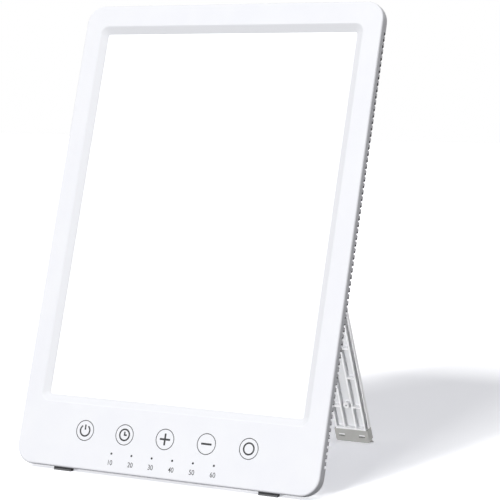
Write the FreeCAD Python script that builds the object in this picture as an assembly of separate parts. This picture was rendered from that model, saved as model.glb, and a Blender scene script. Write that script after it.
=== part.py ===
import FreeCAD, Part
import math
import os

# Light therapy lamp: a flat light panel that leans back on a fold-out leg.
# Everything is laid out on the upright lamp first, in millimetres:
#   x to the viewer's right, y = depth behind the front face, z up the panel from its bottom edge.
# The lamp is then leaned back and set down on the table plane z = 0.

V = FreeCAD.Vector
X_AXIS, Y_AXIS = V(1, 0, 0), V(0, 1, 0)

# ---------------------------------------------------------------- driving dimensions
width = 178.0            # panel width
height = 250.5           # panel height along its own face
thickness = 12.2         # panel thickness
corner_r = 10.0          # corners of the outline
rear_r = 9.0             # soft rounding of the back edge
lean = 17.2              # lean of the panel, degrees from upright
ground_gap = 2.6         # front bottom edge above the table

wall = 1.8               # side walls and back of the rear cover
frame_depth = 2.9        # front frame's side wall
face_t = 2.4             # front frame's face
edge_r = 1.0             # its outer edge
seam = 0.1               # parting line, and the gap between pieces that only locate each other
slip = 0.05              # close fits

# the window: border widths beside, under and over it, and the bevel round the pane
side_border, low_border, top_border = 10.0, 33.3, 11.6
bevel, bevel_depth = 3.9, 1.9
window_r, pane_r = 4.6, 1.8

# light stack, front to back: diffuser, light guide, reflector, back plate
diffuser_proud = 0.4     # raised middle that fills the window
diffuser_t, guide_t, reflector_t, plate_t = 1.0, 1.5, 0.2, 0.6
stack_over = 3.3         # how far the stack reaches behind the frame, past the pane
guide_over = 2.5

# LED strips stand on edge beside the light guide
led_t, led_w, led_l, led_count = 1.3, 1.2, 3.0, 18
strip_t, led_gap, strip_pad, strip_inset = 1.0, 0.9, 3.0, 0.2

# controls along the bottom border
button_pitch, button_z, button_count = 24.2, 20.0, 5
button_r, button_gap, button_travel = 5.0, 0.3, 0.4
button_wing, button_wing_half, button_wing_t, stem_half = 6.1, 3.2, 0.6, 1.5
dot_pitch, dot_z, dot_r, dot_count = 12.12, 9.8, 0.45, 6
board_side, board_bottom, board_top, board_t = 7.6, 5.6, 26.2, 0.8
d_board = 4.9            # front of the control board
switch_s, switch_h, plunger_half, plunger_h = 4.2, 0.8, 1.1, 0.3
pipe_t, pipe_half, pipe_end, pipe_pad = 0.8, 1.3, 2.4, 0.9

# posts inside the frame, with the pegs that hold the plate and the board
post_half, peg_half, peg_out = 2.1, 1.1, 0.5
tab_half, post_off = 4.0, 3.6
board_post_out, board_post_rise = 4.6, 3.4

# case screws, from the back
screw_in_top, screw_drop = 29.0, 7.1
screw_past, screw_rise = 9.0, 13.2                   # the low pair stands past the control board's ends
frame_boss, cover_boss, boss_meet = 2.6, 3.6, 6.0
well_r, well_depth, shank_hole = 2.7, 3.8, 1.4
head_r, head_t, shank_r, thread_r = 2.3, 1.5, 1.1, 1.15
thread_end = 3.0

# LED driver behind the back plate, on the side that the leg leaves free
driver_w, driver_h, driver_t = 54.0, 36.0, 1.0
driver_in, driver_rise = 27.0, 62.0
pad_t, pad_s, pad_in = 0.4, 4.0, 2.0

# DC inlet, low in the left side
inlet_z, inlet_d, inlet_bore, inlet_pin = 15.0, 6.0, 1.9, 0.65
snout_r, snout_in = 2.6, 0.9
inlet_h, inlet_zw, inlet_len, inlet_inset, bore_len = 5.4, 8.0, 8.0, 7.2, 9.6

# vents: a comb of slots down both long sides
vent_count, vent_low, vent_over = 67, 15.7, 16.3
vent_h, vent_d0, vent_d1 = 1.75, 3.5, 10.3

# feet under the panel
foot_in, foot_w, foot_d0, foot_d1, foot_seat = 28.3, 10.7, 3.2, 5.6, 1.3

# stand leg
leg_x, leg_len, leg_past = 38.8, 200.0, 6.0          # leg_past: folded, the leg reaches past the bottom edge
leg_half, leg_t, leg_out = 10.3, 2.2, 1.6            # plate: half width, thickness, how far behind the pin
rib_h, rib_w, rib_x, rim_x = 2.4, 1.0, 3.5, 8.8
cap_h, cap_over = 8.1, 0.1                           # rubber cap, a little thicker than the leg
rung_first, rung_pitch, rung_count = 22.9, 19.05, 9
knuckle_r, pin_r, leg_sink, rib_stop = 1.7, 0.8, 0.2, 2.6
heel_t, heel_in, stop_gap = 0.2, 1.5, 0.01
hub_r, hub_bore, hub_rise, hub_web = 1.7, 0.55, 1.0, 0.4
tongue_half, tongue_t, tongue_low = 8.6, 0.8, 1.9
hook_x, hook_w, hook_low, hook_h, hook_room = 6.2, 3.5, 4.15, 0.85, 0.1
cap_corner = 1.3

# the leg's recess in the back
recess_gap, recess_under, tray_t = 0.7, 0.4, 1.0
pin_reach, block_half = 4.6, 3.0

# ---------------------------------------------------------------- what follows from them
half_w = width / 2
cover_front = frame_depth + seam
window_half, window_bottom, window_top = half_w - side_border, low_border, height - top_border
pane_half, pane_bottom, pane_top = window_half - bevel, window_bottom + bevel, window_top - bevel

d_guide = face_t + diffuser_t
d_reflector = d_guide + guide_t
d_plate = d_reflector + reflector_t
d_plate_back = d_plate + plate_t
d_strip = d_guide + strip_inset
stack_half, stack_bottom, stack_top = pane_half + stack_over, pane_bottom - stack_over, pane_top + stack_over
guide_half, guide_bottom, guide_top = pane_half + guide_over, pane_bottom - guide_over, pane_top + guide_over
led_face = guide_half + led_gap
strip_x = led_face + led_t
flange_x = strip_x + strip_t

button_names = ["power", "timer", "plus", "minus", "mode"]
button_xs = [(i - (button_count - 1) / 2) * button_pitch for i in range(button_count)]
dot_xs = [(i - (dot_count - 1) / 2) * dot_pitch for i in range(dot_count)]
board_half = button_xs[-1] + board_side
d_board_back = d_board + board_t
switch_front = d_board - switch_h
plunger_front = switch_front - plunger_h

screws = [(sx * (half_w - screw_in_top), height - screw_drop) for sx in (-1, 1)]
low_screw_x = board_half + screw_past
screws += [(sx * low_screw_x, screw_rise) for sx in (-1, 1)]
top_posts = [(sx * button_pitch, stack_top + post_off) for sx in (-1, 1)]
low_posts = [(sx * (low_screw_x + post_half), stack_bottom - post_off) for sx in (-1, 1)]
board_posts = [(sx * (button_xs[-1] + board_post_out), board_bottom + board_post_rise) for sx in (-1, 1)]

driver_x0, driver_z0 = driver_in - half_w, driver_rise
driver_x1, driver_z1 = driver_x0 + driver_w, driver_z0 + driver_h

inlet_back = inlet_inset - half_w
inlet_front = inlet_back + inlet_len
snout_x = snout_in - half_w

hinge_z = leg_len - leg_past
d_pin = thickness - knuckle_r - leg_sink
d_leg = d_pin + leg_out - leg_t
rib_top = d_leg - rib_h
recess_floor = rib_top - recess_under
recess_half = leg_half + recess_gap
pin_half = recess_half + pin_reach
cap_bottom = hinge_z - leg_len
cap_top = cap_bottom + cap_h
cap_front, cap_back = d_pin - rib_top + cap_over, leg_out + cap_over

# the leg opens until its front lower edge meets the table, where its heel meets the recess floor
cos_lean, sin_lean = math.cos(math.radians(lean)), math.sin(math.radians(lean))
pin_above = hinge_z * cos_lean - d_pin * sin_lean + ground_gap
reach = math.hypot(leg_len, cap_front)
leg_lean = math.degrees(math.acos(pin_above / reach) + math.atan2(cap_front, leg_len))
opening = leg_lean + lean
cos_open, sin_open = math.cos(math.radians(opening)), math.sin(math.radians(opening))
heel = (d_pin - recess_floor - stop_gap - heel_t * cos_open) / sin_open
recess_top = hinge_z + math.hypot(heel, leg_out) + 2 * seam


# ---------------------------------------------------------------- shape helpers
def box(x0, x1, y0, y1, z0, z1):
    return Part.makeBox(x1 - x0, y1 - y0, z1 - z0, V(x0, y0, z0))


def post(x, z, half, y0, y1):
    """Square post that points into the panel, along y."""
    return box(x - half, x + half, y0, y1, z - half, z + half)


def rod(r, x, z, y0, y1):
    """Round post along y."""
    return Part.makeCylinder(r, y1 - y0, V(x, y0, z), Y_AXIS)


def axle(r, x0, x1, y, z):
    """Round bar along x."""
    return Part.makeCylinder(r, x1 - x0, V(x0, y, z), X_AXIS)


def pin(r, x, z, y0, y1, sides=8):
    """Small many-sided pin along y, for what is tiny or hidden."""
    turns = [2 * math.pi * (i + 0.5) / sides for i in range(sides + 1)]
    ring = Part.makePolygon([V(x + r * math.cos(a), y0, z + r * math.sin(a)) for a in turns])
    return Part.Face(ring).extrude(V(0, y1 - y0, 0))


def outline(half_x, z0, z1, r, y):
    """Rounded rectangle, centred in x, at depth y."""
    k = r * (1 - math.sqrt(0.5))
    right = [(V(half_x - r, y, z0), V(half_x - k, y, z0 + k), V(half_x, y, z0 + r)),
             (V(half_x, y, z1 - r), V(half_x - k, y, z1 - k), V(half_x - r, y, z1))]
    left = [tuple(V(-p.x, p.y, p.z) for p in reversed(arc)) for arc in reversed(right)]
    arcs = right + left
    edges = []
    for i, (first, middle, last) in enumerate(arcs):
        edges.append(Part.Arc(first, middle, last).toShape())
        edges.append(Part.makeLine(last, arcs[(i + 1) % len(arcs)][0]))
    return Part.Wire(edges)


def slab(half_x, z0, z1, r, y0, y1):
    """Rounded plate between two depths."""
    return Part.Face(outline(half_x, z0, z1, r, y0)).extrude(V(0, y1 - y0, 0))


def inset_slab(inset, y0, y1):
    """The lamp's own outline, moved in by inset."""
    return slab(half_w - inset, inset, height - inset, corner_r - inset, y0, y1)


def edges_at(shape, y):
    """The edges that lie wholly at one depth."""
    return [e for e in shape.Edges if abs(e.BoundBox.YMin - y) < 1e-4 and abs(e.BoundBox.YMax - y) < 1e-4]


def below_table():
    """Everything under the table plane, in the upright layout."""
    reach = width + height
    under = Part.makeBox(2 * reach, 2 * reach, reach, V(-reach, -reach, -reach - ground_gap))
    under.rotate(V(0, 0, 0), X_AXIS, lean)
    return under


nodes = {}

# ---------------------------------------------------------------- front frame
frame = inset_slab(0, 0, frame_depth)
frame = frame.makeFillet(edge_r, edges_at(frame, 0))
rim = wall + seam
frame = frame.cut(inset_slab(rim, face_t, frame_depth))

# a lip locates the frame inside the cover; it stops short beside the vents and the inlet
lip_t, lip_d = 1.0, 1.4
vent_first, vent_last = vent_low, height - vent_over
lip_end = frame_depth + lip_d
lip_in = wall + lip_end - vent_d0 + seam
lip = inset_slab(lip_in, face_t, lip_end).cut(inset_slab(lip_in + lip_t, face_t, lip_end))
lip = lip.cut(box(-half_w, half_w, 0, thickness, inlet_z - inlet_zw, vent_last + 2 * vent_h))

added = [lip]
for bx, bz in screws:
    added.append(post(bx, bz, frame_boss, face_t, boss_meet))
for bx, bz in top_posts + low_posts:
    added.append(post(bx, bz, post_half, face_t, d_plate))
    added.append(post(bx, bz, peg_half, d_plate, d_plate_back + peg_out))
for bx, bz in board_posts:
    added.append(post(bx, bz, post_half, face_t, d_board))
    added.append(post(bx, bz, peg_half, d_board, d_board_back + peg_out))
inlet_face = inlet_d - inlet_h / 2
added.append(box(inlet_back, inlet_front, face_t, inlet_face, inlet_z - inlet_bore, inlet_z + inlet_bore))
frame = frame.fuse(added)

bevel_cut = Part.makeLoft([outline(window_half, window_bottom, window_top, window_r, 0),
                           outline(pane_half, pane_bottom, pane_top, pane_r, bevel_depth)], True)
holes = [bevel_cut, slab(pane_half, pane_bottom, pane_top, pane_r, bevel_depth, face_t)]
for bx in button_xs:
    holes.append(rod(button_r + button_gap, bx, button_z, -1, face_t + 1))
for dx in dot_xs:
    holes.append(pin(dot_r + slip, dx, dot_z, -1, face_t + 1))
for bx, bz in screws:
    holes.append(pin(thread_r, bx, bz, thread_end, boss_meet))
nodes["front_frame"] = frame.cut(holes).removeSplitter()

# ---------------------------------------------------------------- rear cover
outer = inset_slab(0, 0, thickness)
outer = outer.makeFillet(rear_r, edges_at(outer, thickness))
hollow = inset_slab(wall, 0, thickness - wall)
hollow = hollow.makeChamfer(thickness - wall - vent_d0, edges_at(hollow, thickness - wall))
front_half = box(-half_w - 1, half_w + 1, -1, cover_front, -1, height + 1)

# the leg's recess is a tray let into the back, with a block that carries the hinge pin's ends
tray_floor = recess_floor - tray_t
added = [box(leg_x - recess_half - tray_t, leg_x + recess_half + tray_t, tray_floor, thickness,
             0, recess_top + tray_t),
         box(leg_x - pin_half - tray_t, leg_x + pin_half + tray_t, tray_floor, thickness,
             hinge_z - block_half, hinge_z + block_half)]
for bx, bz in screws:
    added.append(post(bx, bz, cover_boss, boss_meet + seam, thickness))
cover = outer.cut(hollow).fuse([a.common(outer) for a in added])

head_floor = thickness - well_depth
openings = [front_half,
            box(leg_x - recess_half, leg_x + recess_half, recess_floor, thickness + 1, -1, recess_top),
            axle(pin_r + slip / 2, leg_x - pin_half, leg_x + pin_half, d_pin, hinge_z),
            axle(snout_r + slip, -half_w - 1, inlet_back, inlet_d, inlet_z)]
for bx, bz in screws:
    openings.append(rod(well_r, bx, bz, head_floor, thickness + 1))
    openings.append(pin(shank_hole, bx, bz, boss_meet, head_floor + 1))
vent_pitch = (vent_last - vent_first) / (vent_count - 1)
vent_reach = thickness - vent_d0 + seam
for i in range(vent_count):
    vz = vent_first + i * vent_pitch
    for side in (-1, 1):
        if side < 0 and abs(vz - inlet_z) < snout_r + vent_h + seam:
            continue
        x0, x1 = sorted((side * (half_w + 1), side * (half_w - vent_reach)))
        openings.append(box(x0, x1, vent_d0, vent_d1, vz - vent_h / 2, vz + vent_h / 2))
foot_cx = half_w - foot_in
for side in (-1, 1):
    x0 = side * foot_cx - foot_w / 2
    openings.append(box(x0 - slip, x0 + foot_w + slip, foot_d0 - slip, foot_d1 + slip, -1, foot_seat))
nodes["rear_cover"] = cover.cut(openings).removeSplitter()

# ---------------------------------------------------------------- light stack
middle = slab(pane_half - seam, pane_bottom + seam, pane_top - seam, pane_r - seam,
              face_t - diffuser_proud, face_t)
flange = box(-stack_half, stack_half, face_t, d_guide, stack_bottom, stack_top)
nodes["diffuser_panel"] = flange.fuse(middle).removeSplitter()
nodes["light_guide"] = box(-guide_half, guide_half, d_guide, d_reflector, guide_bottom, guide_top)
nodes["reflector_sheet"] = box(-guide_half, guide_half, d_reflector, d_plate, guide_bottom, guide_top)

# metal back plate: flanges bent forward hold the LED strips, four tabs hang it on the frame's pegs
plate = box(-flange_x - plate_t, flange_x + plate_t, d_plate, d_plate_back, stack_bottom, stack_top)
added = []
for side in (-1, 1):
    x0, x1 = sorted((side * flange_x, side * (flange_x + plate_t)))
    added.append(box(x0, x1, d_strip, d_plate, stack_bottom, stack_top))
tab_end = post_half + peg_out
for bx, bz in top_posts:
    added.append(box(bx - tab_half, bx + tab_half, d_plate, d_plate_back, stack_top, bz + tab_end))
for bx, bz in low_posts:
    added.append(box(bx - tab_half, bx + tab_half, d_plate, d_plate_back, bz - tab_end, stack_bottom))
for px in (driver_x0 + pad_in, driver_x1 - pad_in - pad_s):
    for pz in (driver_z0 + pad_in, driver_z1 - pad_in - pad_s):
        added.append(box(px, px + pad_s, d_plate_back, d_plate_back + pad_t, pz, pz + pad_s))
peg_holes = [post(bx, bz, peg_half + slip, d_plate, d_plate_back) for bx, bz in top_posts + low_posts]
nodes["back_plate"] = plate.fuse(added).cut(peg_holes).removeSplitter()

led_pitch = (guide_top - guide_bottom - 2 * strip_pad) / led_count
led_d = (d_strip + d_plate) / 2
for side, name in ((-1, "left"), (1, "right")):
    x0, x1 = sorted((side * strip_x, side * flange_x))
    strip = box(x0, x1, d_strip, d_plate, guide_bottom, guide_top)
    x0, x1 = sorted((side * led_face, side * strip_x))
    leds = []
    for i in range(led_count):
        lz = guide_bottom + strip_pad + (i + 0.5) * led_pitch
        leds.append(box(x0, x1, led_d - led_w / 2, led_d + led_w / 2, lz - led_l / 2, lz + led_l / 2))
    nodes["led_strip_" + name] = strip.fuse(leds)

# ---------------------------------------------------------------- electronics
board = box(-board_half, board_half, d_board, d_board_back, board_bottom, board_top)
# processor, regulator, buzzer and cable socket stand on the back, each where it clears the posts
chips = [(-4.0, 7.0, 14.0, 7.0, 0.9), (-22.0, 4.5, 13.0, 6.0, 1.0),
         (12.0, 6.0, 17.0, 6.0, 1.4), (-44.0, 10.0, 18.0, 6.5, 2.6)]
parts = [box(x, x + w, d_board_back, d_board_back + t, z, z + h) for x, w, z, h, t in chips]
peg_holes = [post(bx, bz, peg_half + slip, d_board, d_board_back) for bx, bz in board_posts]
nodes["control_board"] = board.fuse(parts).cut(peg_holes).removeSplitter()

for name, bx in zip(button_names, button_xs):
    body = post(bx, button_z, switch_s / 2, switch_front, d_board)
    nodes[name + "_switch"] = body.fuse(post(bx, button_z, plunger_half, plunger_front, switch_front))

d_pipe_back = face_t + pipe_t
pipe = box(dot_xs[0] - pipe_end, dot_xs[-1] + pipe_end, face_t, d_pipe_back,
           dot_z - pipe_half, dot_z + pipe_half)
pins = [pin(dot_r, dx, dot_z, slip, face_t) for dx in dot_xs]
pins += [post(dx, dot_z, pipe_pad, d_pipe_back, d_board) for dx in dot_xs]
nodes["light_pipe"] = pipe.fuse(pins).removeSplitter()

d_driver = d_plate_back + pad_t
d_driver_back = d_driver + driver_t
driver = box(driver_x0, driver_x1, d_driver, d_driver_back, driver_z0, driver_z1)
# inductor, two capacitors, driver chip and connector: place and size on the board
parts = [(7.0, 8.0, 8.0, 8.0, 1.5), (20.0, 8.0, 8.0, 8.0, 1.5), (32.0, 5.0, 18.0, 6.0, 0.9),
         (10.0, 12.0, 22.0, 8.0, 1.4), (40.0, 10.0, 6.0, 5.0, 1.4)]
parts = [box(driver_x0 + x, driver_x0 + x + w, d_driver_back, d_driver_back + t,
             driver_z0 + z, driver_z0 + z + h) for x, w, z, h, t in parts]
nodes["driver_board"] = driver.fuse(parts)

inlet = box(inlet_back, inlet_front, inlet_face, inlet_face + inlet_h,
            inlet_z - inlet_zw / 2, inlet_z + inlet_zw / 2)
inlet = inlet.fuse(axle(snout_r, snout_x, inlet_back, inlet_d, inlet_z))
inlet = inlet.cut(axle(inlet_bore, snout_x, snout_x + bore_len, inlet_d, inlet_z))
inlet = inlet.fuse(axle(inlet_pin, snout_x + 1, inlet_front - 1, inlet_d, inlet_z))
nodes["dc_inlet"] = inlet.removeSplitter()

# ---------------------------------------------------------------- push buttons
button_back = face_t + seam
for name, bx in zip(button_names, button_xs):
    cap = rod(button_r, bx, button_z, 0, button_back)
    wings = box(bx - button_wing, bx + button_wing, button_back, button_back + button_wing_t,
                button_z - button_wing_half, button_z + button_wing_half)
    stem = post(bx, button_z, stem_half, button_back + button_wing_t, plunger_front - button_travel - seam)
    nodes[name + "_button"] = cap.fuse([wings, stem]).removeSplitter()

# ---------------------------------------------------------------- rubber feet under the panel
for side, name in ((-1, "left"), (1, "right")):
    x0 = side * foot_cx - foot_w / 2
    pad = box(x0, x0 + foot_w, foot_d0, foot_d1, -3 * ground_gap, foot_seat)
    nodes["foot_" + name] = pad.cut(below_table())

# ---------------------------------------------------------------- stand leg, laid out folded, then opened
# ribs face into the lamp, the smooth side faces out
rib_end = hinge_z - rib_stop
leg = box(leg_x - leg_half, leg_x + leg_half, d_leg, d_leg + leg_t, cap_top, hinge_z)
added = [axle(knuckle_r, leg_x - leg_half, leg_x + leg_half, d_pin, hinge_z),
         box(leg_x - leg_half + heel_in, leg_x + leg_half - heel_in, d_pin - heel_t, d_leg + leg_t,
             hinge_z, hinge_z + heel)]
for rx in (-rim_x, -rib_x, rib_x, rim_x):
    added.append(box(leg_x + rx - rib_w / 2, leg_x + rx + rib_w / 2, rib_top, d_leg, cap_top, rib_end))
for z0 in (cap_top, rib_end - rib_w):
    added.append(box(leg_x - rim_x, leg_x + rim_x, rib_top, d_leg, z0, z0 + rib_w))
for i in range(rung_count):
    rz = cap_bottom + rung_first + i * rung_pitch
    for x0, x1 in ((-rim_x, -rib_x), (rib_x, rim_x)):
        added.append(box(leg_x + x0, leg_x + x1, rib_top, d_leg, rz - rib_w / 2, rz + rib_w / 2))
hub_z = cap_bottom + rung_first + hub_rise
added.append(rod(hub_r, leg_x, hub_z, rib_top, d_leg))
# tongue for the rubber cap, with two hooks that show through its windows
tongue_z, hook_z = cap_bottom + tongue_low, cap_bottom + hook_low
added.append(box(leg_x - tongue_half, leg_x + tongue_half, d_pin - tongue_t, d_pin + tongue_t,
                 tongue_z, cap_top))
for hx in (leg_x - hook_x, leg_x + hook_x):
    added.append(box(hx - hook_w / 2, hx + hook_w / 2, d_pin - cap_front + hook_room, d_pin,
                     hook_z, hook_z + hook_h))
leg = leg.fuse(added)
leg = leg.cut([axle(pin_r + slip, leg_x - leg_half - 1, leg_x + leg_half + 1, d_pin, hinge_z),
               rod(hub_bore, leg_x, hub_z, rib_top - 1, d_leg + hub_web)])
leg = leg.removeSplitter()

cap = box(leg_x - leg_half, leg_x + leg_half, d_pin - cap_front, d_pin + cap_back,
          cap_bottom - cap_front - cap_back, cap_top)
holes = [box(leg_x - tongue_half - slip, leg_x + tongue_half + slip,
             d_pin - tongue_t - slip, d_pin + tongue_t + slip, tongue_z - slip, cap_top + 1)]
for hx in (leg_x - hook_x, leg_x + hook_x):
    holes.append(box(hx - hook_w / 2 - hook_room, hx + hook_w / 2 + hook_room, d_pin - cap_front - 1, d_pin,
                     hook_z - hook_h, hook_z + hook_h + slip))
cap = cap.cut(holes)

pin_centre = V(leg_x, d_pin, hinge_z)
corner_off = cap_corner * (math.sqrt(2) - 1)
trims = [below_table()]
for side in (-1, 1):
    corner = box(-cap_corner, cap_corner, -2 * cap_h, 2 * cap_h, -cap_corner, cap_corner)
    corner.rotate(V(0, 0, 0), Y_AXIS, 45)
    corner.translate(V(leg_x + side * (leg_half + corner_off), d_pin, cap_bottom - corner_off))
    corner.rotate(pin_centre, X_AXIS, opening)
    trims.append(corner)
for shape in (leg, cap):
    shape.rotate(pin_centre, X_AXIS, opening)
nodes["stand_leg"] = leg
nodes["stand_foot"] = cap.cut(trims)
nodes["hinge_pin"] = axle(pin_r, leg_x - pin_half + seam, leg_x + pin_half - seam, d_pin, hinge_z)

# ---------------------------------------------------------------- case screws
for i, (bx, bz) in enumerate(screws):
    head = rod(head_r, bx, bz, head_floor, head_floor + head_t)
    nodes["case_screw_%d" % (i + 1)] = head.fuse(pin(shank_r, bx, bz, thread_end + seam, head_floor))

# ---------------------------------------------------------------- lean back, centre on the table, write
for shape in nodes.values():
    shape.rotate(V(0, 0, 0), X_AXIS, -lean)
whole = Part.makeCompound(list(nodes.values())).optimalBoundingBox(False, False)
shift = V(0, -(whole.YMin + whole.YMax) / 2, ground_gap)
os.makedirs("parts", exist_ok=True)
for name, shape in nodes.items():
    shape.translate(shift)
    shape.exportStep("parts/" + name + ".step")

pivot = V(leg_x, d_pin * cos_lean + hinge_z * sin_lean, hinge_z * cos_lean - d_pin * sin_lean) + shift
print("nodes", len(nodes), "opening", round(opening, 3), "leg lean", round(leg_lean, 3),
      "heel", round(heel, 3))
print("shift", [round(v, 4) for v in shift], "pivot", [round(v, 4) for v in pivot])
print("box", [round(v, 2) for v in (whole.XMin, whole.XMax, whole.YMin + shift.y, whole.YMax + shift.y,
                                    whole.ZMin + shift.z, whole.ZMax + shift.z)])
for name, shape in nodes.items():
    if not shape.isValid() or len(shape.Solids) != 1:
        print("CHECK", name, shape.isValid(), len(shape.Solids))
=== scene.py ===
import math

import bpy
import numpy as np
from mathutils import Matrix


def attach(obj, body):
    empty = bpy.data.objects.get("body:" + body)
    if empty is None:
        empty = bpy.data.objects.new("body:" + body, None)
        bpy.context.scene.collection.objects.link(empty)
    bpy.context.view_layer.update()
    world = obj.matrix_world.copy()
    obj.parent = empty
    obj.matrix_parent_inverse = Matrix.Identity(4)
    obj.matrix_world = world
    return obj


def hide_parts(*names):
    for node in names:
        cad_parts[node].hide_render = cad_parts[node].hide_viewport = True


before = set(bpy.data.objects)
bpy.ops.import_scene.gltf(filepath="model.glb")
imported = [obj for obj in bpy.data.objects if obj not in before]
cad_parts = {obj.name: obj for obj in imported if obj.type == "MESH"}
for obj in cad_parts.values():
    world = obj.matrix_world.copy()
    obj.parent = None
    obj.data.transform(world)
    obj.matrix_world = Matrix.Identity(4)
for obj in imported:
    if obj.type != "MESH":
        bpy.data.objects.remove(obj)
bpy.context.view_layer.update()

# ---------------------------------------------------------------- back plate
# Pressed sheet of 0.6 mm aluminium that carries the light stack, with side flanges for the LED strips. It hangs on
# the front frame's pegs. Rolling leaves fine lines along the sheet, so its glints are drawn out across them.


def linear(hex_colour):
    """An sRGB hex colour as the linear values that a shader reads: a dark channel is divided by 12.92, and any other
    is scaled to (c + 0.055) / 1.055 and raised to the power 2.4."""
    value = [int(hex_colour[i:i + 2], 16) / 255 for i in (0, 2, 4)]
    return [c / 12.92 if c <= 0.04045 else ((c + 0.055) / 1.055) ** 2.4 for c in value] + [1.0]


def add(tree, kind, settings=None, links=None):
    """Adds one node, gives it its properties and input values, and links other nodes' outputs into it."""
    made = tree.nodes.new(kind)
    for name, value in (settings or {}).items():
        if isinstance(name, str) and name not in made.inputs:
            setattr(made, name, value)
        else:
            made.inputs[name].default_value = value
    for name, output in (links or {}).items():
        tree.links.new(output, made.inputs[name])
    return made


def finish_start(name):
    """An empty material: its node tree, its Principled shader and the object coordinates."""
    material = bpy.data.materials.new(name)
    material.use_nodes = True
    tree = material.node_tree
    where = add(tree, "ShaderNodeTexCoord").outputs["Object"]
    return material, tree, tree.nodes["Principled BSDF"], where


def settle(shader, **values):
    """Sets constants on the shader's own sockets; an underscore in a name stands for a space."""
    for name, value in values.items():
        shader.inputs[name.replace("_", " ")].default_value = value


def wear(names, material):
    """Gives CAD nodes their finish."""
    for name in names.split():
        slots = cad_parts[name].data.materials
        slots.clear()
        slots.append(material)


aluminium, tree, shader, where = finish_start("rolled_aluminium")
settle(shader, Metallic=1.0, Roughness=0.38)
line_mm, streaks_per_m = 0.4, 60    # a rolled line's width, and how often it changes along its length
lines = add(tree, "ShaderNodeMapping", {"Scale": (1000 / line_mm, streaks_per_m, streaks_per_m)}, {"Vector": where})
grain = add(tree, "ShaderNodeTexNoise", {"Scale": 1.0, "Detail": 3.0}, {"Vector": lines.outputs[0]})
tone = add(tree, "ShaderNodeValToRGB", {}, {"Fac": grain.outputs["Fac"]})
tone.color_ramp.elements[0].color = linear("b4b6b9")
tone.color_ramp.elements[1].color = linear("d2d3d6")
tree.links.new(tone.outputs["Color"], shader.inputs["Base Color"])
bump = add(tree, "ShaderNodeBump", {"Strength": 0.15, "Distance": 0.00002}, {"Height": grain.outputs["Fac"]})
tree.links.new(bump.outputs["Normal"], shader.inputs["Normal"])
wear("back_plate", aluminium)

# ---------------------------------------------------------------- reflector, light guide and diffuser
# White reflector film, a clear acrylic guide with a printed dot pattern on its back, and the opal diffuser whose
# raised middle fills the window. The opal pane is given a faint painted glow.
fibre_mm, dot_mm, cloud_mm = 2.5, 1.6, 6.0    # grain of the film, spacing of the dots, cloudiness of the opal
dot_edge = 0.28, 0.34                         # a dot's rim, as shares of the spacing

film, tree, shader, where = finish_start("white_reflector_film")
settle(shader, Roughness=0.3)
haze = add(tree, "ShaderNodeTexNoise", {"Scale": 1000 / fibre_mm, "Detail": 2.0}, {"Vector": where})
tone = add(tree, "ShaderNodeValToRGB", {}, {"Fac": haze.outputs["Fac"]})
tone.color_ramp.elements[0].color = linear("f2f3f4")
tone.color_ramp.elements[1].color = linear("fbfbfb")
tree.links.new(tone.outputs["Color"], shader.inputs["Base Color"])
wear("reflector_sheet", film)

guide, tree, shader, where = finish_start("clear_acrylic_with_printed_dots")
settle(shader, IOR=1.49, Roughness=0.06, Transmission_Weight=0.9)
dots = add(tree, "ShaderNodeTexVoronoi", {"Scale": 1000 / dot_mm, "Randomness": 0.15}, {"Vector": where})
tone = add(tree, "ShaderNodeValToRGB", {}, {"Fac": dots.outputs["Distance"]})
tone.color_ramp.elements[0].position, tone.color_ramp.elements[1].position = dot_edge
tone.color_ramp.elements[0].color = linear("fdfdfd")
tone.color_ramp.elements[1].color = linear("dfe6e8")
tree.links.new(tone.outputs["Color"], shader.inputs["Base Color"])
wear("light_guide", guide)

opal, tree, shader, where = finish_start("opal_acrylic")
# Painted glow: the opal's weak emission brightens the pane.
settle(shader, IOR=1.49, Roughness=0.42, Emission_Color=linear("ffffff"), Emission_Strength=0.1)
haze = add(tree, "ShaderNodeTexNoise", {"Scale": 1000 / cloud_mm, "Detail": 2.0}, {"Vector": where})
tone = add(tree, "ShaderNodeValToRGB", {}, {"Fac": haze.outputs["Fac"]})
tone.color_ramp.elements[0].color = linear("f7f8fa")
tone.color_ramp.elements[1].color = linear("fcfdfe")
tree.links.new(tone.outputs["Color"], shader.inputs["Base Color"])
wear("diffuser_panel", opal)

# ---------------------------------------------------------------- LED strips
# Narrow circuit strips with a white solder mask, one at each side of the guide, with a row of small white LEDs. The
# silicone over each LED is filled with yellow phosphor, which is what shows when they are off.
strip_face_x, mask_t, phosphor_mm = 0.0798, 0.00002, 0.5    # metres to a strip's face; its mask; the grain

strip, tree, shader, where = finish_start("white_solder_mask_and_phosphor")
settle(shader, Roughness=0.35)
axes = add(tree, "ShaderNodeSeparateXYZ", {}, {"Vector": where})
out = add(tree, "ShaderNodeMath", {"operation": "ABSOLUTE"}, {0: axes.outputs["X"]})
led = add(tree, "ShaderNodeMath", {"operation": "LESS_THAN", 1: strip_face_x - mask_t}, {0: out.outputs[0]})
speck = add(tree, "ShaderNodeTexNoise", {"Scale": 1000 / phosphor_mm, "Detail": 2.0}, {"Vector": where})
phosphor = add(tree, "ShaderNodeValToRGB", {}, {"Fac": speck.outputs["Fac"]})
phosphor.color_ramp.elements[0].color = linear("e8c75a")
phosphor.color_ramp.elements[1].color = linear("f4dd85")
tone = add(tree, "ShaderNodeMix", {"data_type": "RGBA"}, {"Factor": led.outputs[0], "B": phosphor.outputs["Color"]})
tone.inputs["A"].default_value = linear("eef0ef")
tree.links.new(tone.outputs["Result"], shader.inputs["Base Color"])
wear("led_strip_left led_strip_right", strip)

# ---------------------------------------------------------------- circuit boards and switches
# Glass-fibre boards with a green solder mask; the parts on them are black epoxy. Five small switches with black
# plungers stand on the control board, one behind each button.

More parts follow.
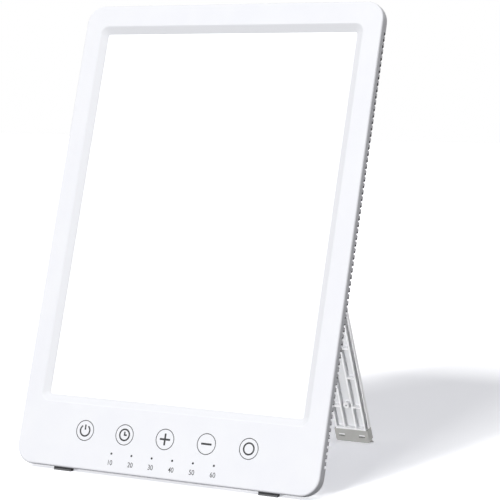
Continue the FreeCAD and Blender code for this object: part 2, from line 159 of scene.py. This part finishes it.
lean = math.radians(17.2)
foot_line = np.array([0.0, -0.0745186, 0.0026])             # the panel's lower front edge, in metres
board_back = {"control_board": 5.7, "driver_board": 7.1}    # mm behind the front face; the parts stand on the back
solder_t, track_mm, tile_tracks, nylon_mm = 0.00004, 2.2, 6, 0.4

for name, back_mm in board_back.items():
    mask, tree, shader, where = finish_start("green_solder_mask_" + name)
    settle(shader, Roughness=0.32)
    level = add(tree, "ShaderNodeMapping", {"vector_type": "POINT", "Rotation": (lean, 0, 0)}, {"Vector": where})
    axes = add(tree, "ShaderNodeSeparateXYZ", {}, {"Vector": level.outputs[0]})
    zero = foot_line[1] * math.cos(lean) - foot_line[2] * math.sin(lean)
    part = add(tree, "ShaderNodeMath", {"operation": "GREATER_THAN", 1: zero + back_mm / 1000 + solder_t},
               {0: axes.outputs["Y"]})
    tracks = add(tree, "ShaderNodeTexBrick", {"Scale": 1000 / (tile_tracks * track_mm), "Mortar Size": 0.03},
                 {"Vector": level.outputs[0]})
    tracks.inputs["Color1"].default_value = linear("1f6b3f")
    tracks.inputs["Color2"].default_value = linear("236f45")
    tracks.inputs["Mortar"].default_value = linear("3c8a5c")
    tone = add(tree, "ShaderNodeMix", {"data_type": "RGBA"}, {"Factor": part.outputs[0], "A": tracks.outputs["Color"]})
    tone.inputs["B"].default_value = linear("26272a")
    tree.links.new(tone.outputs["Result"], shader.inputs["Base Color"])
    wear(name, mask)

switch, tree, shader, where = finish_start("black_moulded_nylon")
settle(shader, Roughness=0.5)
speck = add(tree, "ShaderNodeTexNoise", {"Scale": 1000 / nylon_mm, "Detail": 2.0}, {"Vector": where})
tone = add(tree, "ShaderNodeValToRGB", {}, {"Fac": speck.outputs["Fac"]})
tone.color_ramp.elements[0].color = linear("1d1e20")
tone.color_ramp.elements[1].color = linear("2c2d30")
tree.links.new(tone.outputs["Color"], shader.inputs["Base Color"])
bump = add(tree, "ShaderNodeBump", {"Strength": 0.2, "Distance": 0.00002}, {"Height": speck.outputs["Fac"]})
tree.links.new(bump.outputs["Normal"], shader.inputs["Normal"])
wear("power_switch timer_switch plus_switch minus_switch mode_switch", switch)

# ---------------------------------------------------------------- front frame
# Bezel moulded in white ABS, with the bevel that leads down to the pane. The mould is lightly spark-eroded, so the
# white has a fine satin grain that spreads the highlights and never looks wet. The bevels and sides are painted a
# shade darker than the face, as painted shade.
frame_shade_from, frame_shade_to = 0.00005, 0.00035    # depths, in metres, over which the painted shade fades in
frame_painted_shade = "eeeff3"


def soften(name, angle=20.0):
    """Evens the shading of a moulded CAD node, by live modifiers that leave its mesh alone: facets that meet at less
    than the angle shade as one curve, and each curve is weighted towards its largest flat."""
    group = bpy.data.node_groups.new("soften_" + name, "GeometryNodeTree")
    group.interface.new_socket("Geometry", in_out="INPUT", socket_type="NodeSocketGeometry")
    group.interface.new_socket("Geometry", in_out="OUTPUT", socket_type="NodeSocketGeometry")
    start = add(group, "NodeGroupInput")
    weld = add(group, "GeometryNodeMergeByDistance", {"Distance": 0.000002}, {"Geometry": start.outputs[0]})
    faces = add(group, "GeometryNodeSetShadeSmooth", {"Shade Smooth": True}, {"Geometry": weld.outputs[0]})
    turn = add(group, "GeometryNodeInputMeshEdgeAngle")
    crease = add(group, "FunctionNodeCompare", {"operation": "GREATER_THAN"}, {"A": turn.outputs[0]})
    crease.inputs["B"].default_value = math.radians(angle)
    edges = add(group, "GeometryNodeSetShadeSmooth", {"domain": "EDGE", "Shade Smooth": False},
                {"Geometry": faces.outputs[0], "Selection": crease.outputs[0]})
    add(group, "NodeGroupOutput", {}, {"Geometry": edges.outputs[0]})
    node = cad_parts[name]
    node.modifiers.new("soften", "NODES").node_group = group
    node.modifiers.new("flat_faces", "WEIGHTED_NORMAL").keep_sharp = True


def moulded(name, pale, shade, roughness, grain_mm, relief):
    """Moulded white plastic: a faint cloudiness in the pigment and the fine grain of an eroded mould."""
    pigment_mm, uneven = 18.0, 0.04
    material, tree, shader, where = finish_start(name)
    settle(shader, IOR=1.53, Specular_IOR_Level=0.4)
    cloud = add(tree, "ShaderNodeTexNoise", {"Scale": 1000 / pigment_mm, "Detail": 2.0}, {"Vector": where})
    tone = add(tree, "ShaderNodeValToRGB", {}, {"Fac": cloud.outputs["Fac"]})
    tone.color_ramp.elements[0].position, tone.color_ramp.elements[1].position = 0.35, 0.65
    tone.color_ramp.elements[0].color = linear(shade)
    tone.color_ramp.elements[1].color = linear(pale)
    tree.links.new(tone.outputs["Color"], shader.inputs["Base Color"])
    grain = add(tree, "ShaderNodeTexNoise", {"Scale": 1000 / grain_mm, "Detail": 2.0}, {"Vector": where})
    gloss = add(tree, "ShaderNodeMapRange", {"To Min": roughness - uneven, "To Max": roughness + uneven},
                {"Value": grain.outputs["Fac"]})
    tree.links.new(gloss.outputs[0], shader.inputs["Roughness"])
    bump = add(tree, "ShaderNodeBump", {"Strength": relief, "Distance": 0.00002}, {"Height": grain.outputs["Fac"]})
    tree.links.new(bump.outputs["Normal"], shader.inputs["Normal"])
    return material


def overlaid(tree, share, hex_colour):
    """Lays another colour over the one that a material has so far, by a share from 0 to 1."""
    base = tree.nodes["Principled BSDF"].inputs["Base Color"]
    tone = add(tree, "ShaderNodeMix", {"data_type": "RGBA"}, {"Factor": share, "A": base.links[0].from_socket})
    tone.inputs["B"].default_value = linear(hex_colour)
    tree.links.new(tone.outputs["Result"], base)


frame_abs = moulded("satin_white_abs", pale="f5f6fa", shade="f3f4f9", roughness=0.56, grain_mm=0.7, relief=0.12)
tree = frame_abs.node_tree
where = tree.nodes["Texture Coordinate"].outputs["Object"]
in_panel = add(tree, "ShaderNodeVectorMath", {"operation": "SUBTRACT", 1: foot_line}, {0: where})
deep = add(tree, "ShaderNodeVectorMath", {"operation": "DOT_PRODUCT", 1: (0, math.cos(lean), -math.sin(lean))},
           {0: in_panel.outputs[0]})
frame_shade_share = add(tree, "ShaderNodeMapRange", {"From Min": frame_shade_from, "From Max": frame_shade_to},
                 {"Value": deep.outputs["Value"]})
# Painted shade: everything deeper than the face, the bevels and sides, takes the darker colour.
overlaid(tree, frame_shade_share.outputs[0], frame_painted_shade)
wear("front_frame", frame_abs)
soften("front_frame")

# ---------------------------------------------------------------- printed minutes
# The minutes 10 to 60, pad-printed in dark grey ink on the frame's lower band, under the six light dots. The ink is a
# film 0.02 mm thick, a little uneven where the soft pad pressed it on.
ink_mm, patch_mm = 0.02, 0.6
minute_count, minute_pitch, minute_z, minute_h, minute_w = 6, 12.12, 5.15, 2.6, 3.3
usual_span, spread = 1.03, 0.006    # in the font's own units: two digits' width, and how far the ink spreads


def panel_place(points_mm):
    """Points (x, depth behind the front face, height up the face) in mm to metres in the frame: the panel is leaned
    back about x and set on its lower front edge."""
    x, depth, up = (np.asarray(points_mm, float) / 1000).T
    y = depth * math.cos(lean) + up * math.sin(lean)
    z = up * math.cos(lean) - depth * math.sin(lean)
    return np.column_stack([x, y, z]) + foot_line


def show(name, body, slot, material, points_mm, faces, smooth=False):
    """Makes one piece from points on the panel and its faces, gives it its finish and lets it ride on a body."""
    mesh = bpy.data.meshes.new(name)
    mesh.from_pydata(panel_place(points_mm).tolist(), [], [list(map(int, f)) for f in faces])
    mesh.polygons.foreach_set("use_smooth", [smooth] * len(mesh.polygons))
    mesh.materials.append(material)
    mesh.update()
    piece = bpy.data.objects.new(name, mesh)
    bpy.context.scene.collection.objects.link(piece)
    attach(piece, body)
    return piece


ink, tree, shader, where = finish_start("pad_printed_grey_ink")
settle(shader, Roughness=0.55)
patchy = add(tree, "ShaderNodeTexNoise", {"Scale": 1000 / patch_mm, "Detail": 2.0}, {"Vector": where})
tone = add(tree, "ShaderNodeValToRGB", {}, {"Fac": patchy.outputs["Fac"]})
tone.color_ramp.elements[0].color = linear("232427")
tone.color_ramp.elements[1].color = linear("2d2e31")
tree.links.new(tone.outputs["Color"], shader.inputs["Base Color"])

for i in range(minute_count):
    words = bpy.data.curves.new("minutes", "FONT")
    words.body = str(10 * (i + 1))
    words.extrude = 0.5    # any thickness: it is scaled to the ink's own below
    words.offset = spread
    setting = bpy.data.objects.new("minutes", words)
    bpy.context.scene.collection.objects.link(setting)
    bpy.context.view_layer.update()
    shape = bpy.data.meshes.new_from_object(setting)
    flat = np.array([v.co for v in shape.vertices])
    span = flat.max(0) - flat.min(0)
    flat = (flat - flat.min(0)) / span - 0.5
    x = flat[:, 0] * minute_w * span[0] / usual_span + (i - (minute_count - 1) / 2) * minute_pitch
    up = flat[:, 1] * minute_h + minute_z
    depth = -ink_mm * (flat[:, 2] + 0.5)
    show("minutes_" + words.body, "lamp", "frame_plastic", ink, np.column_stack([x, depth, up]),
         [p.vertices for p in shape.polygons])
    bpy.data.objects.remove(setting)

# ---------------------------------------------------------------- push buttons
# Five round caps moulded in the same white ABS. They lie flush with the frame, each free to slide in its own hole, and
# press the switches behind. Their symbols are pad-printed: power, timer, plus, minus and mode.
button_z, button_pitch = 20.0, 24.2
stroke, bar, symbol_r, arm = 0.84, 1.0, 2.85, 3.0    # widths of the lines, and reach of the ring and of the signs
opening_deg, stem_top, stem_low = 35, 3.1, 0.4       # power: its open ring and its stem
hub, hand_up, hand_across = -0.1, 1.7, 1.4           # timer: its two hands
ring_points = 64

wear("power_button timer_button plus_button minus_button mode_button",
     moulded("satin_white_button_abs", pale="f5f6fa", shade="f3f4f9", roughness=0.5, grain_mm=0.7, relief=0.1))


def stripe(path, width, closed=False):
    """A flat stripe of ink along a path of (x, up): each point is moved half the width along the mean of its two
    neighbouring normals, and the two edges are joined on the cap's face and ink_mm above it."""
    path = np.asarray(path, float)
    ahead = np.roll(path, -1, 0) - path
    if not closed:
        ahead[-1] = ahead[-2]
    ahead /= np.linalg.norm(ahead, axis=1)[:, None]
    behind = np.roll(ahead, 1, 0)
    if not closed:
        behind[0] = ahead[0]
    normal = np.stack([-ahead[:, 1] - behind[:, 1], ahead[:, 0] + behind[:, 0]], 1)
    normal *= (width / (normal ** 2).sum(1))[:, None]
    left, right = path + normal, path - normal
    n = len(path)
    rings = []
    for edge, depth in ((left, 0.0), (left, -ink_mm), (right, -ink_mm), (right, 0.0)):
        rings.append(np.column_stack([edge[:, 0], np.full(n, depth), edge[:, 1]]))
    i = np.arange(n if closed else n - 1)
    faces = []
    for k in range(4):
        m = (k + 1) % 4
        faces.append(np.stack([k * n + i, m * n + i, m * n + (i + 1) % n, k * n + (i + 1) % n], 1))
    faces = np.concatenate(faces).tolist()
    if not closed:
        faces.append([3 * n, 2 * n, n, 0])
        faces.append([n - 1, 2 * n - 1, 3 * n - 1, 4 * n - 1])
    return np.concatenate(rings), faces


def arc(radius, start, end, count):
    """Points on a circle about the cap's centre, (radius times sine, radius times cosine) of equal turns, in degrees
    clockwise from the top."""
    turn = np.radians(np.linspace(start, end, count))
    return np.column_stack([radius * np.sin(turn), radius * np.cos(turn)])


ring = arc(symbol_r, 0, 360 - 360 / ring_points, ring_points)
symbols = {
    "power": [(arc(symbol_r, opening_deg, 360 - opening_deg, 48), False), ([(0, stem_top), (0, stem_low)], False)],
    "timer": [(ring, True), ([(0, hand_up), (0, hub), (hand_across, hub)], False)],
    "plus": [([(-arm, 0), (arm, 0)], False), ([(0, bar / 2), (0, arm)], False),
             ([(0, -arm), (0, -bar / 2)], False)],
    "minus": [([(-arm, 0), (arm, 0)], False)],
    "mode": [(ring, True)],
}
middle = (len(symbols) - 1) / 2
for i, (name, stripes) in enumerate(symbols.items()):
    points, faces, count = [], [], 0
    for path, closed in stripes:
        some, quads = stripe(path, bar if name in ("plus", "minus") else stroke, closed)
        points.append(some + [(i - middle) * button_pitch, 0, button_z])
        faces += [[v + count for v in quad] for quad in quads]
        count += len(some)
    show(name + "_symbol", name + "_key", "button_plastic", ink, np.concatenate(points), faces)

# ---------------------------------------------------------------- button gap shade
# A thin charcoal ring fills the gap round each cap, as painted shade of the gap. It laps 0.1 mm over the hole's rim,
# where it stands 0.02 mm proud, and is fixed to the frame, so the cap slides inside it.
lip_r, lip_w, lip_front, lip_h, bloom_mm = 5.2, 0.4, -0.02, 0.5, 1.2

gap_shade, tree, shader, where = finish_start("charcoal_gap_shade")
settle(shader, Roughness=0.6, IOR=1.41)
bloom = add(tree, "ShaderNodeTexNoise", {"Scale": 1000 / bloom_mm, "Detail": 2.0}, {"Vector": where})
tone = add(tree, "ShaderNodeValToRGB", {}, {"Fac": bloom.outputs["Fac"]})
tone.color_ramp.elements[0].color = linear("222326")
tone.color_ramp.elements[1].color = linear("2c2d30")
tree.links.new(tone.outputs["Color"], shader.inputs["Base Color"])


def washer(x, up, inner, outer, front, back, count=96):
    """A flat ring about (x, up): four circles of points, x + r cos(turn) and up + r sin(turn), joined to a closed
    band."""
    turn = np.linspace(0, 2 * np.pi, count, endpoint=False)
    rings = [np.column_stack([x + r * np.cos(turn), np.full(count, depth), up + r * np.sin(turn)])
             for r, depth in ((inner, front), (outer, front), (outer, back), (inner, back))]
    i = np.arange(count)
    faces = [np.stack([k * count + i, k * count + (i + 1) % count, m * count + (i + 1) % count, m * count + i], 1)
             for k, m in ((0, 1), (1, 2), (2, 3), (3, 0))]
    return np.concatenate(rings), np.concatenate(faces).tolist()


# Painted shade: a dark ring stands in the gap round each cap.
for i, name in enumerate(symbols):
    show(name + "_gap_shade", "lamp", "frame_plastic", gap_shade,
         *washer((i - middle) * button_pitch, button_z, lip_r - lip_w / 2, lip_r + lip_w / 2,
                 lip_front, lip_front + lip_h))

# ---------------------------------------------------------------- light dots
# One light pipe moulded in smoke-tinted acrylic ends in six pins, flush with the frame. A round lens of the same
# acrylic, 0.03 mm thick, covers the end of each. Unlit they look dark grey.
dot_z, lens_r, lens_t, smoke_mm = 9.74, 0.58, 0.03, 1.5

pipe, tree, shader, where = finish_start("smoke_tinted_acrylic")
settle(shader, IOR=1.49, Roughness=0.2)
haze = add(tree, "ShaderNodeTexNoise", {"Scale": 1000 / smoke_mm, "Detail": 1.0}, {"Vector": where})
tone = add(tree, "ShaderNodeValToRGB", {}, {"Fac": haze.outputs["Fac"]})
tone.color_ramp.elements[0].color = linear("2b2c2f")
tone.color_ramp.elements[1].color = linear("36383b")
tree.links.new(tone.outputs["Color"], shader.inputs["Base Color"])
wear("light_pipe", pipe)


def disc(x, up, radius, front, back, count=32):
    """A flat disc about (x, up): its two rims, each closed with one face, and the band between them."""
    turn = np.linspace(0, 2 * np.pi, count, endpoint=False)
    rims = [np.column_stack([x + radius * np.cos(turn), np.full(count, depth), up + radius * np.sin(turn)])
            for depth in (front, back)]
    i = np.arange(count)
    faces = np.stack([i, i + count, (i + 1) % count + count, (i + 1) % count], 1).tolist()
    return np.concatenate(rims), faces + [list(range(count)), list(range(count, 2 * count))[::-1]]


for i in range(minute_count):
    show("dot_lens_%d" % (i + 1), "lamp", "light_pipe", pipe,
         *disc((i - (minute_count - 1) / 2) * minute_pitch, dot_z, lens_r, -lens_t, 0.0))

# ---------------------------------------------------------------- rear cover
# Shell moulded in white ABS, with soft back edges and the comb of vents down both long sides. Its grain is coarser
# than the frame's, because nobody looks at it from the front. The walls of the vents are painted darker, as painted
# shade.
vents_from, across_wall = 0.0862, 0.8    # metres from the middle; share of a wall's normal along the panel
vent_wall_painted_shade = "8a8a8c"

cover_abs = moulded("grained_white_abs", pale="efeff2", shade="ececf0", roughness=0.58, grain_mm=0.9, relief=0.2)
tree = cover_abs.node_tree
spot = tree.nodes["Texture Coordinate"]
upward = add(tree, "ShaderNodeVectorMath", {"operation": "DOT_PRODUCT", 1: (0, math.sin(lean), math.cos(lean))},
             {0: spot.outputs["Normal"]})
upward = add(tree, "ShaderNodeMath", {"operation": "ABSOLUTE"}, {0: upward.outputs["Value"]})
wall = add(tree, "ShaderNodeMath", {"operation": "GREATER_THAN", 1: across_wall}, {0: upward.outputs[0]})
across = add(tree, "ShaderNodeSeparateXYZ", {}, {"Vector": spot.outputs["Object"]})
across = add(tree, "ShaderNodeMath", {"operation": "ABSOLUTE"}, {0: across.outputs["X"]})
side = add(tree, "ShaderNodeMath", {"operation": "GREATER_THAN", 1: vents_from}, {0: across.outputs[0]})
painted_shade_mask = add(tree, "ShaderNodeMath", {"operation": "MULTIPLY"}, {0: wall.outputs[0], 1: side.outputs[0]})
# Painted shade: near the long sides, the vents' walls that face up or down along the panel are darkened.
overlaid(tree, painted_shade_mask.outputs[0], vent_wall_painted_shade)
wear("rear_cover", cover_abs)
soften("rear_cover")

# ---------------------------------------------------------------- case screws
# Zinc-plated self-tapping screws with a pan head and a cross recess, sunk in the back's four wells. They cut their
# own thread in the frame's bosses.
screw_at = [(-60.0, 243.4), (60.0, 243.4), (-65.0, 13.2), (65.0, 13.2)]
screw_end, head_floor, head_t, head_r = 3.1, 8.4, 1.5, 2.3              # depths and sizes, in mm
shank_r, thread_mm, ridge_h, tip_share, tip_long = 0.95, 0.8, 0.15, 0.35, 0.8
rim_h, chamfer, shoulder_r, crown_h = 0.5, 0.1, 0.9, 0.12
slot_half, slot_r, slot_deep, slot_rise = 0.24, 1.15, 0.9, 0.35         # the cross gets shallower away from the axis
zinc_mm = 0.8

zinc, tree, shader, where = finish_start("zinc_plated_steel")
settle(shader, Metallic=1.0)
patchy = add(tree, "ShaderNodeTexNoise", {"Scale": 1000 / zinc_mm, "Detail": 3.0}, {"Vector": where})
tone = add(tree, "ShaderNodeValToRGB", {}, {"Fac": patchy.outputs["Fac"]})
tone.color_ramp.elements[0].color = linear("a9acb0")
tone.color_ramp.elements[1].color = linear("c6c8cb")
tree.links.new(tone.outputs["Color"], shader.inputs["Base Color"])
gloss = add(tree, "ShaderNodeMapRange", {"To Min": 0.25, "To Max": 0.45}, {"Value": patchy.outputs["Fac"]})
tree.links.new(gloss.outputs[0], shader.inputs["Roughness"])


def screw(x, up):
    """A screw as one closed surface of two parameters, the way along its profile and the turn about its axis. The
    thread is a ridge of triangular section that climbs one pitch a turn, and the cross is cut out of the head's top
    wherever a point is nearer than half a slot to one of two lines. The head's side is a quarter of an ellipse."""
    turn = np.linspace(0, 2 * np.pi, 64, endpoint=False)[None, :]
    low = np.linspace(screw_end, head_floor, 48)[:, None]
    climb = (low - screw_end) / thread_mm - turn / (2 * np.pi)
    ridge = 1 - np.abs(2 * (climb % 1) - 1)
    point = tip_share + (1 - tip_share) * np.clip((low - screw_end) / tip_long, 0, 1)
    shank_out = (shank_r + ridge_h * np.clip(3 * ridge - 2, 0, 1)) * point
    rim_out, rim_deep = np.array([[head_r - chamfer], [head_r]]), np.array([[head_floor], [head_floor + chamfer]])
    edge = np.linspace(0, np.pi / 2, 7)[:, None]
    side_out = head_r - shoulder_r * (1 - np.cos(edge))
    side_deep = head_floor + rim_h + (head_t - rim_h - crown_h) * np.sin(edge)
    inward = np.linspace(head_r - shoulder_r, 0.02, 20)[:, None] + 0 * turn
    top = head_floor + head_t
    crown = top - crown_h * (inward / (head_r - shoulder_r)) ** 2
    across, along = np.abs(inward * np.cos(turn)), np.abs(inward * np.sin(turn))
    slot = (np.minimum(across, along) < slot_half) & (inward < slot_r)
    crown = np.where(slot, top - slot_deep + slot_rise * inward, crown)
    radius = np.concatenate([shank_out, rim_out + 0 * turn, side_out + 0 * turn, inward])
    depth = np.concatenate([low + 0 * turn, rim_deep + 0 * turn, side_deep + 0 * turn, crown])
    rows, columns = radius.shape
    points = np.stack([x + radius * np.cos(turn), depth, up + radius * np.sin(turn)], -1).reshape(-1, 3)
    row, column = np.meshgrid(np.arange(rows - 1), np.arange(columns), indexing="ij")
    a, b = row * columns + column, row * columns + (column + 1) % columns
    faces = np.stack([a, b, b + columns, a + columns], -1).reshape(-1, 4).tolist()
    faces.append(list(range(columns))[::-1])
    faces.append(list(range((rows - 1) * columns, rows * columns)))
    return points, faces


for i, (x, up) in enumerate(screw_at):
    piece = show("screw_%d" % (i + 1), "lamp", "steel", zinc, *screw(x, up))
    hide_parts("case_screw_%d" % (i + 1))

# ---------------------------------------------------------------- power inlet
# Black nylon socket with a nickel-plated centre pin for the supply's round plug. It is moulded in one block, which
# sits in an opening low in the cover's left side.
inlet_depth, inlet_up, pin_r = 6.0, 15.0, 0.75

socket, tree, shader, where = finish_start("black_nylon_and_nickel_pin")
centre = panel_place([(0.0, inlet_depth, inlet_up)])[0]
off = add(tree, "ShaderNodeVectorMath", {"operation": "SUBTRACT", 1: centre}, {0: where})
aside = add(tree, "ShaderNodeVectorMath", {"operation": "MULTIPLY", 1: (0, 1, 1)}, {0: off.outputs[0]})
away = add(tree, "ShaderNodeVectorMath", {"operation": "LENGTH"}, {0: aside.outputs[0]})
metal = add(tree, "ShaderNodeMath", {"operation": "LESS_THAN", 1: pin_r / 1000}, {0: away.outputs["Value"]})
tone = add(tree, "ShaderNodeMix", {"data_type": "RGBA"}, {"Factor": metal.outputs[0]})
tone.inputs["A"].default_value = linear("222326")
tone.inputs["B"].default_value = linear("c2bfb8")
tree.links.new(tone.outputs["Result"], shader.inputs["Base Color"])
tree.links.new(metal.outputs[0], shader.inputs["Metallic"])
settle(shader, Roughness=0.42)
wear("dc_inlet", socket)

# ---------------------------------------------------------------- rubber feet
# Two moulded blocks of dark natural rubber, pressed into seats in the housing's bottom edge. Rubber is dull, with a
# dusty bloom in patches.
foot_bloom_mm = 1.8

rubber, tree, shader, where = finish_start("dark_moulded_rubber")
settle(shader, Roughness=0.75, IOR=1.52)
bloom = add(tree, "ShaderNodeTexNoise", {"Scale": 1000 / foot_bloom_mm, "Detail": 3.0}, {"Vector": where})
tone = add(tree, "ShaderNodeValToRGB", {}, {"Fac": bloom.outputs["Fac"]})
tone.color_ramp.elements[0].color = linear("626264")
tone.color_ramp.elements[1].color = linear("727274")
tree.links.new(tone.outputs["Color"], shader.inputs["Base Color"])
bump = add(tree, "ShaderNodeBump", {"Strength": 0.3, "Distance": 0.00003}, {"Height": bloom.outputs["Fac"]})
tree.links.new(bump.outputs["Normal"], shader.inputs["Normal"])
wear("foot_left foot_right", rubber)

# ---------------------------------------------------------------- hinge pin
# Steel wire pin, drawn bright, that the leg turns on. Its two ends sit in the blocks of the cover's recess. Drawing
# leaves fine lines along the wire.
drawn_mm, drawn_per_m = 0.3, 80

bright, tree, shader, where = finish_start("bright_drawn_steel")
settle(shader, Metallic=1.0, Roughness=0.28)
stretch = add(tree, "ShaderNodeMapping", {"Scale": (drawn_per_m, 1000 / drawn_mm, 1000 / drawn_mm)}, {"Vector": where})
drawn = add(tree, "ShaderNodeTexNoise", {"Scale": 1.0, "Detail": 2.0}, {"Vector": stretch.outputs[0]})
tone = add(tree, "ShaderNodeValToRGB", {}, {"Fac": drawn.outputs["Fac"]})
tone.color_ramp.elements[0].color = linear("a2a4a7")
tone.color_ramp.elements[1].color = linear("bdbfc2")
tree.links.new(tone.outputs["Color"], shader.inputs["Base Color"])
wear("hinge_pin", bright)

# ---------------------------------------------------------------- stand leg
# Flat leg moulded in white ABS, smooth outside and stiffened inside by rims and rungs. It turns on the pin, and its
# heel stops against the recess when it is open. Its pockets are painted darker towards their floors, as painted shade.
leg_lean, leg_x, pocket_half = math.radians(23.328), 0.0388, 0.0098
rung_top, pocket_floor, plate_middle = 0.0635, 0.0659, 0.0665    # metres from the origin, square to the leg's plate
pocket_painted_shade = "dedfe1"

leg_abs = moulded("satin_white_leg_abs", pale="f9f9fb", shade="f7f7f9", roughness=0.55, grain_mm=0.8, relief=0.12)
tree = leg_abs.node_tree
where = tree.nodes["Texture Coordinate"].outputs["Object"]
back = add(tree, "ShaderNodeVectorMath", {"operation": "DOT_PRODUCT", 1: (0, math.cos(leg_lean), math.sin(leg_lean))},
           {0: where})
deep = add(tree, "ShaderNodeMapRange", {"From Min": rung_top, "From Max": pocket_floor},
           {"Value": back.outputs["Value"]})
above = add(tree, "ShaderNodeMath", {"operation": "LESS_THAN", 1: plate_middle}, {0: back.outputs["Value"]})
across = add(tree, "ShaderNodeSeparateXYZ", {}, {"Vector": where})
inside = add(tree, "ShaderNodeMath", {"operation": "COMPARE", 1: leg_x, 2: pocket_half}, {0: across.outputs["X"]})
painted_shade_mask = add(tree, "ShaderNodeMath", {"operation": "MULTIPLY"}, {0: deep.outputs[0], 1: above.outputs[0]})
painted_shade_mask = add(tree, "ShaderNodeMath", {"operation": "MULTIPLY"}, {0: painted_shade_mask.outputs[0], 1: inside.outputs[0]})
# Painted shade: the pockets darken with depth towards their floors.
overlaid(tree, painted_shade_mask.outputs[0], pocket_painted_shade)
wear("stand_leg", leg_abs)
soften("stand_leg")

# ---------------------------------------------------------------- stand foot
# Cap of pale grey thermoplastic rubber, moulded with a matt skin. It is pushed over the leg's end and held by two
# hooks that show through its windows.
skin_mm = 2.0

grip, tree, shader, where = finish_start("grey_thermoplastic_rubber")
settle(shader, Roughness=0.65, IOR=1.5)
bloom = add(tree, "ShaderNodeTexNoise", {"Scale": 1000 / skin_mm, "Detail": 2.0}, {"Vector": where})
tone = add(tree, "ShaderNodeValToRGB", {}, {"Fac": bloom.outputs["Fac"]})
tone.color_ramp.elements[0].color = linear("b6b6b3")
tone.color_ramp.elements[1].color = linear("bfbfbc")
tree.links.new(tone.outputs["Color"], shader.inputs["Base Color"])
bump = add(tree, "ShaderNodeBump", {"Strength": 0.2, "Distance": 0.00003}, {"Height": bloom.outputs["Fac"]})
tree.links.new(bump.outputs["Normal"], shader.inputs["Normal"])
wear("stand_foot", grip)

# ---------------------------------------------------------------- floor
# White table top that the lamp stands on. Other rays meet its own pale grey. Seen by the camera it is white with a
# faint cool glow, so that the lamp's shadow on it stays pale.
half_side, glow = 4, 0.352

top, tree, shader, where = finish_start("white_table_top")
tree.nodes.remove(shader)
ray = add(tree, "ShaderNodeLightPath").outputs["Is Camera Ray"]
real = add(tree, "ShaderNodeBsdfDiffuse", {"Color": linear("7a7a7c")})
seen = add(tree, "ShaderNodeBsdfDiffuse", {"Color": linear("f8f8f8")})
lift = add(tree, "ShaderNodeEmission", {"Color": linear("f3f5ff"), "Strength": glow})
both = add(tree, "ShaderNodeAddShader", {}, {0: seen.outputs[0], 1: lift.outputs[0]})
mix = add(tree, "ShaderNodeMixShader", {}, {0: ray, 1: real.outputs[0], 2: both.outputs[0]})
tree.links.new(mix.outputs[0], tree.nodes["Material Output"].inputs["Surface"])
mesh = bpy.data.meshes.new("table_top")
corners = [(half_side * x, half_side * y, 0) for x, y in ((-1, -1), (1, -1), (1, 1), (-1, 1))]
mesh.from_pydata(corners, [], [(0, 1, 2, 3)])
mesh.materials.append(top)
table_top = bpy.data.objects.new("table_top", mesh)
bpy.context.scene.collection.objects.link(table_top)

# ---------------------------------------------------------------- light
# A soft strip light high in front, made of three suns side by side, a weak broad one low at the right, and a room that
# is brighter behind and plain white to the camera. The leg and its cap stand in the panel's shade, so three lamps
# light only them. One low lamp in front lights only the table, under the panel's edge.
key_turns, room_front, room_back = (-13, -4, 5), 0.25, 0.68


def sun(name, turn_deg, rise_deg, strength, soft_deg):
    """A sun that shines from the given turn to the right of the front and the given height, as wide as soft_deg."""
    light = bpy.data.lights.new(name, "SUN")
    light.energy = strength
    light.angle = math.radians(soft_deg)
    lamp = bpy.data.objects.new(name, light)
    bpy.context.scene.collection.objects.link(lamp)
    lamp.rotation_euler = (math.radians(90 - rise_deg), 0, math.radians(turn_deg))
    return lamp


for i, turn_deg in enumerate(key_turns):
    sun("key_%d" % i, turn_deg, rise_deg=36.5, strength=0.77, soft_deg=9)
sun("low_front", turn_deg=20, rise_deg=6, strength=0.33, soft_deg=40)
for name, turn_deg, rise_deg, strength, soft_deg, nodes in (
        ("leg_front", -10, -1, 2.7, 24, ("stand_leg",)),
        ("foot_front", -8, -14, 2.45, 30, ("stand_foot",)),
        ("leg_edge", 155, 6, 1.6, 12, ("stand_leg", "stand_foot"))):
    lamp = sun(name, turn_deg, rise_deg, strength, soft_deg)
    lit = bpy.data.collections.new(name)
    for node in nodes:
        lit.objects.link(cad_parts[node])
    lamp.light_linking.receiver_collection = lit
    lamp.light_linking.blocker_collection = lit
table = bpy.data.collections.new("table")
table.objects.link(table_top)
under_edge = sun("under_edge", turn_deg=-6, rise_deg=4, strength=15, soft_deg=9)
under_edge.light_linking.receiver_collection = table

world = bpy.data.worlds.new("room")
bpy.context.scene.world = world
world.use_nodes = True
tree = world.node_tree
room = tree.nodes["Background"]
room.inputs["Color"].default_value = linear("ffffff")
way = add(tree, "ShaderNodeTexCoord")
axes = add(tree, "ShaderNodeSeparateXYZ", {}, {"Vector": way.outputs["Generated"]})
behind = add(tree, "ShaderNodeMapRange", {"From Min": -0.2, "To Min": room_front, "To Max": room_back},
             {"Value": axes.outputs["Y"]})
rays = add(tree, "ShaderNodeLightPath")
seen = add(tree, "ShaderNodeMath", {"operation": "MAXIMUM"},
           {0: rays.outputs["Is Camera Ray"], 1: rays.outputs["Is Glossy Ray"]})
seen = add(tree, "ShaderNodeMath", {"operation": "MAXIMUM"},
           {0: seen.outputs[0], 1: rays.outputs["Is Transmission Ray"]})
level = add(tree, "ShaderNodeMix", {"data_type": "FLOAT"}, {"Factor": seen.outputs[0], "A": behind.outputs[0]})
level.inputs["B"].default_value = 1.0
tree.links.new(level.outputs["Result"], room.inputs["Strength"])
bpy.context.scene.view_settings.view_transform = "Standard"

# ---------------------------------------------------------------- camera
# Long lens, about a metre away, so that upright lines stay nearly parallel. It stands 29 degrees to the lamp's right
# and looks down on it by 5.5 degrees.
look_down, turned = 0.0967576, 0.5065385    # radians

camera = bpy.data.objects.new("camera", bpy.data.cameras.new("camera"))
bpy.context.scene.collection.objects.link(camera)
camera.location = (0.486354, -0.856735, 0.207511)
camera.rotation_euler = (math.pi / 2 - look_down, 0, turned)
camera.data.lens = 133.98
camera.data.sensor_width = 36
camera.data.clip_start = 0.05
bpy.context.scene.camera = camera
